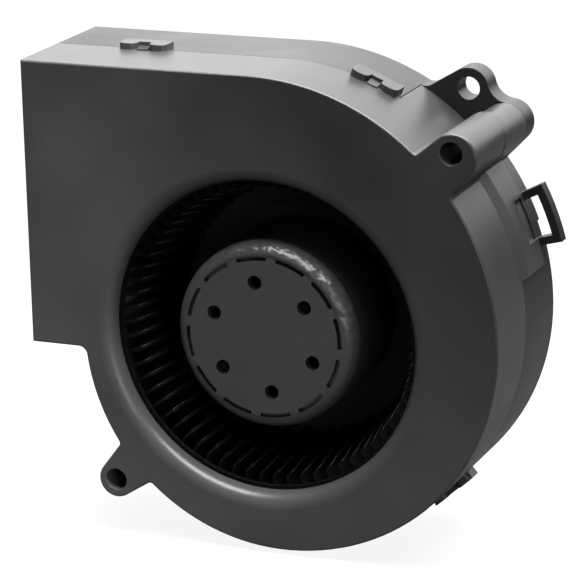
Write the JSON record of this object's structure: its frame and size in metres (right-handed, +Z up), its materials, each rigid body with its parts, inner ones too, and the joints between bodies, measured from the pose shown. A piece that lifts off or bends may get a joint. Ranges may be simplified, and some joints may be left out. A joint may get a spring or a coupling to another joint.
{
  "type": "dc blower fan",
  "caption": "Centrifugal blower with a flat scroll housing of two moulded halves, a round side inlet, one square outlet and a drum impeller on an outer-rotor motor.",
  "frame": {"origin": "on the rotor axis, in the rear mounting plane", "axes": "+Y along the rotor axis from the inlet face to the rear mounting plane, -X out of the outlet, +Z up with the outlet at the upper left of the inlet face"},
  "size_m": [0.1669, 0.056, 0.1608],
  "materials": {
    "cover_plastic": "satin",
    "housing_plastic": "satin",
    "impeller_plastic": "satin",
    "rotor_steel": "satin",
    "bearing_steel": "polished",
    "flange_alloy": "cast",
    "screw_steel": "zinc plated",
    "tube_brass": "turned",
    "lamination_steel": "laminated",
    "insulator_plastic": "moulded",
    "winding_copper": "enamelled",
    "board_laminate": "solder mask",
    "chip_epoxy": "moulded",
    "capacitor_can": "satin",
    "magnet_ferrite": "sintered",
    "cage_polymer": "moulded",
    "washer_polymer": "moulded",
    "grommet_rubber": "moulded"
  },
  "bodies": {
    "housing": {"front_cover": "cover_plastic", "rear_housing": "housing_plastic", "motor_flange": "flange_alloy", "cable_grommet": "grommet_rubber", "motor_screws": "screw_steel", "bearing_tube": "tube_brass", "preload_spring": "screw_steel", "front_bearing_outer": "bearing_steel", "rear_bearing_outer": "bearing_steel", "bearing_shields": "bearing_steel", "stator_core": "lamination_steel", "front_insulator": "insulator_plastic", "rear_insulator": "insulator_plastic", "stator_coils": "winding_copper", "circuit_board": "board_laminate", "driver_chips": "chip_epoxy", "capacitors": "capacitor_can", "hall_sensors": "chip_epoxy"},
    "rotor": {"impeller_hub": "impeller_plastic", "impeller_blades": "impeller_plastic", "impeller_front_ring": "impeller_plastic", "rotor_cup": "rotor_steel", "rotor_magnet": "magnet_ferrite", "shaft_bush": "rotor_steel", "shaft": "bearing_steel", "thrust_washer": "washer_polymer", "retaining_ring": "screw_steel", "front_bearing_inner": "bearing_steel", "rear_bearing_inner": "bearing_steel"},
    "front_ball_set": {"front_bearing_balls": "bearing_steel", "front_bearing_cage": "cage_polymer"},
    "rear_ball_set": {"rear_bearing_balls": "bearing_steel", "rear_bearing_cage": "cage_polymer"}
  },
  "joints": [
    {"name": "impeller_spin", "type": "hinge", "parent": "housing", "child": "rotor", "pos_m": [0, 0, 0], "axis": [0, -1, 0], "continuous": true},
    {"name": "front_ball_orbit", "type": "hinge", "parent": "housing", "child": "front_ball_set", "pos_m": [0, 0, 0], "axis": [0, -1, 0], "continuous": true},
    {"name": "rear_ball_orbit", "type": "hinge", "parent": "housing", "child": "rear_ball_set", "pos_m": [0, 0, 0], "axis": [0, -1, 0], "continuous": true}
  ],
  "couplings": [
    {"joint": "front_ball_orbit", "follows": "impeller_spin", "ratio": 0.37619},
    {"joint": "rear_ball_orbit", "follows": "impeller_spin", "ratio": 0.37619}
  ]
}
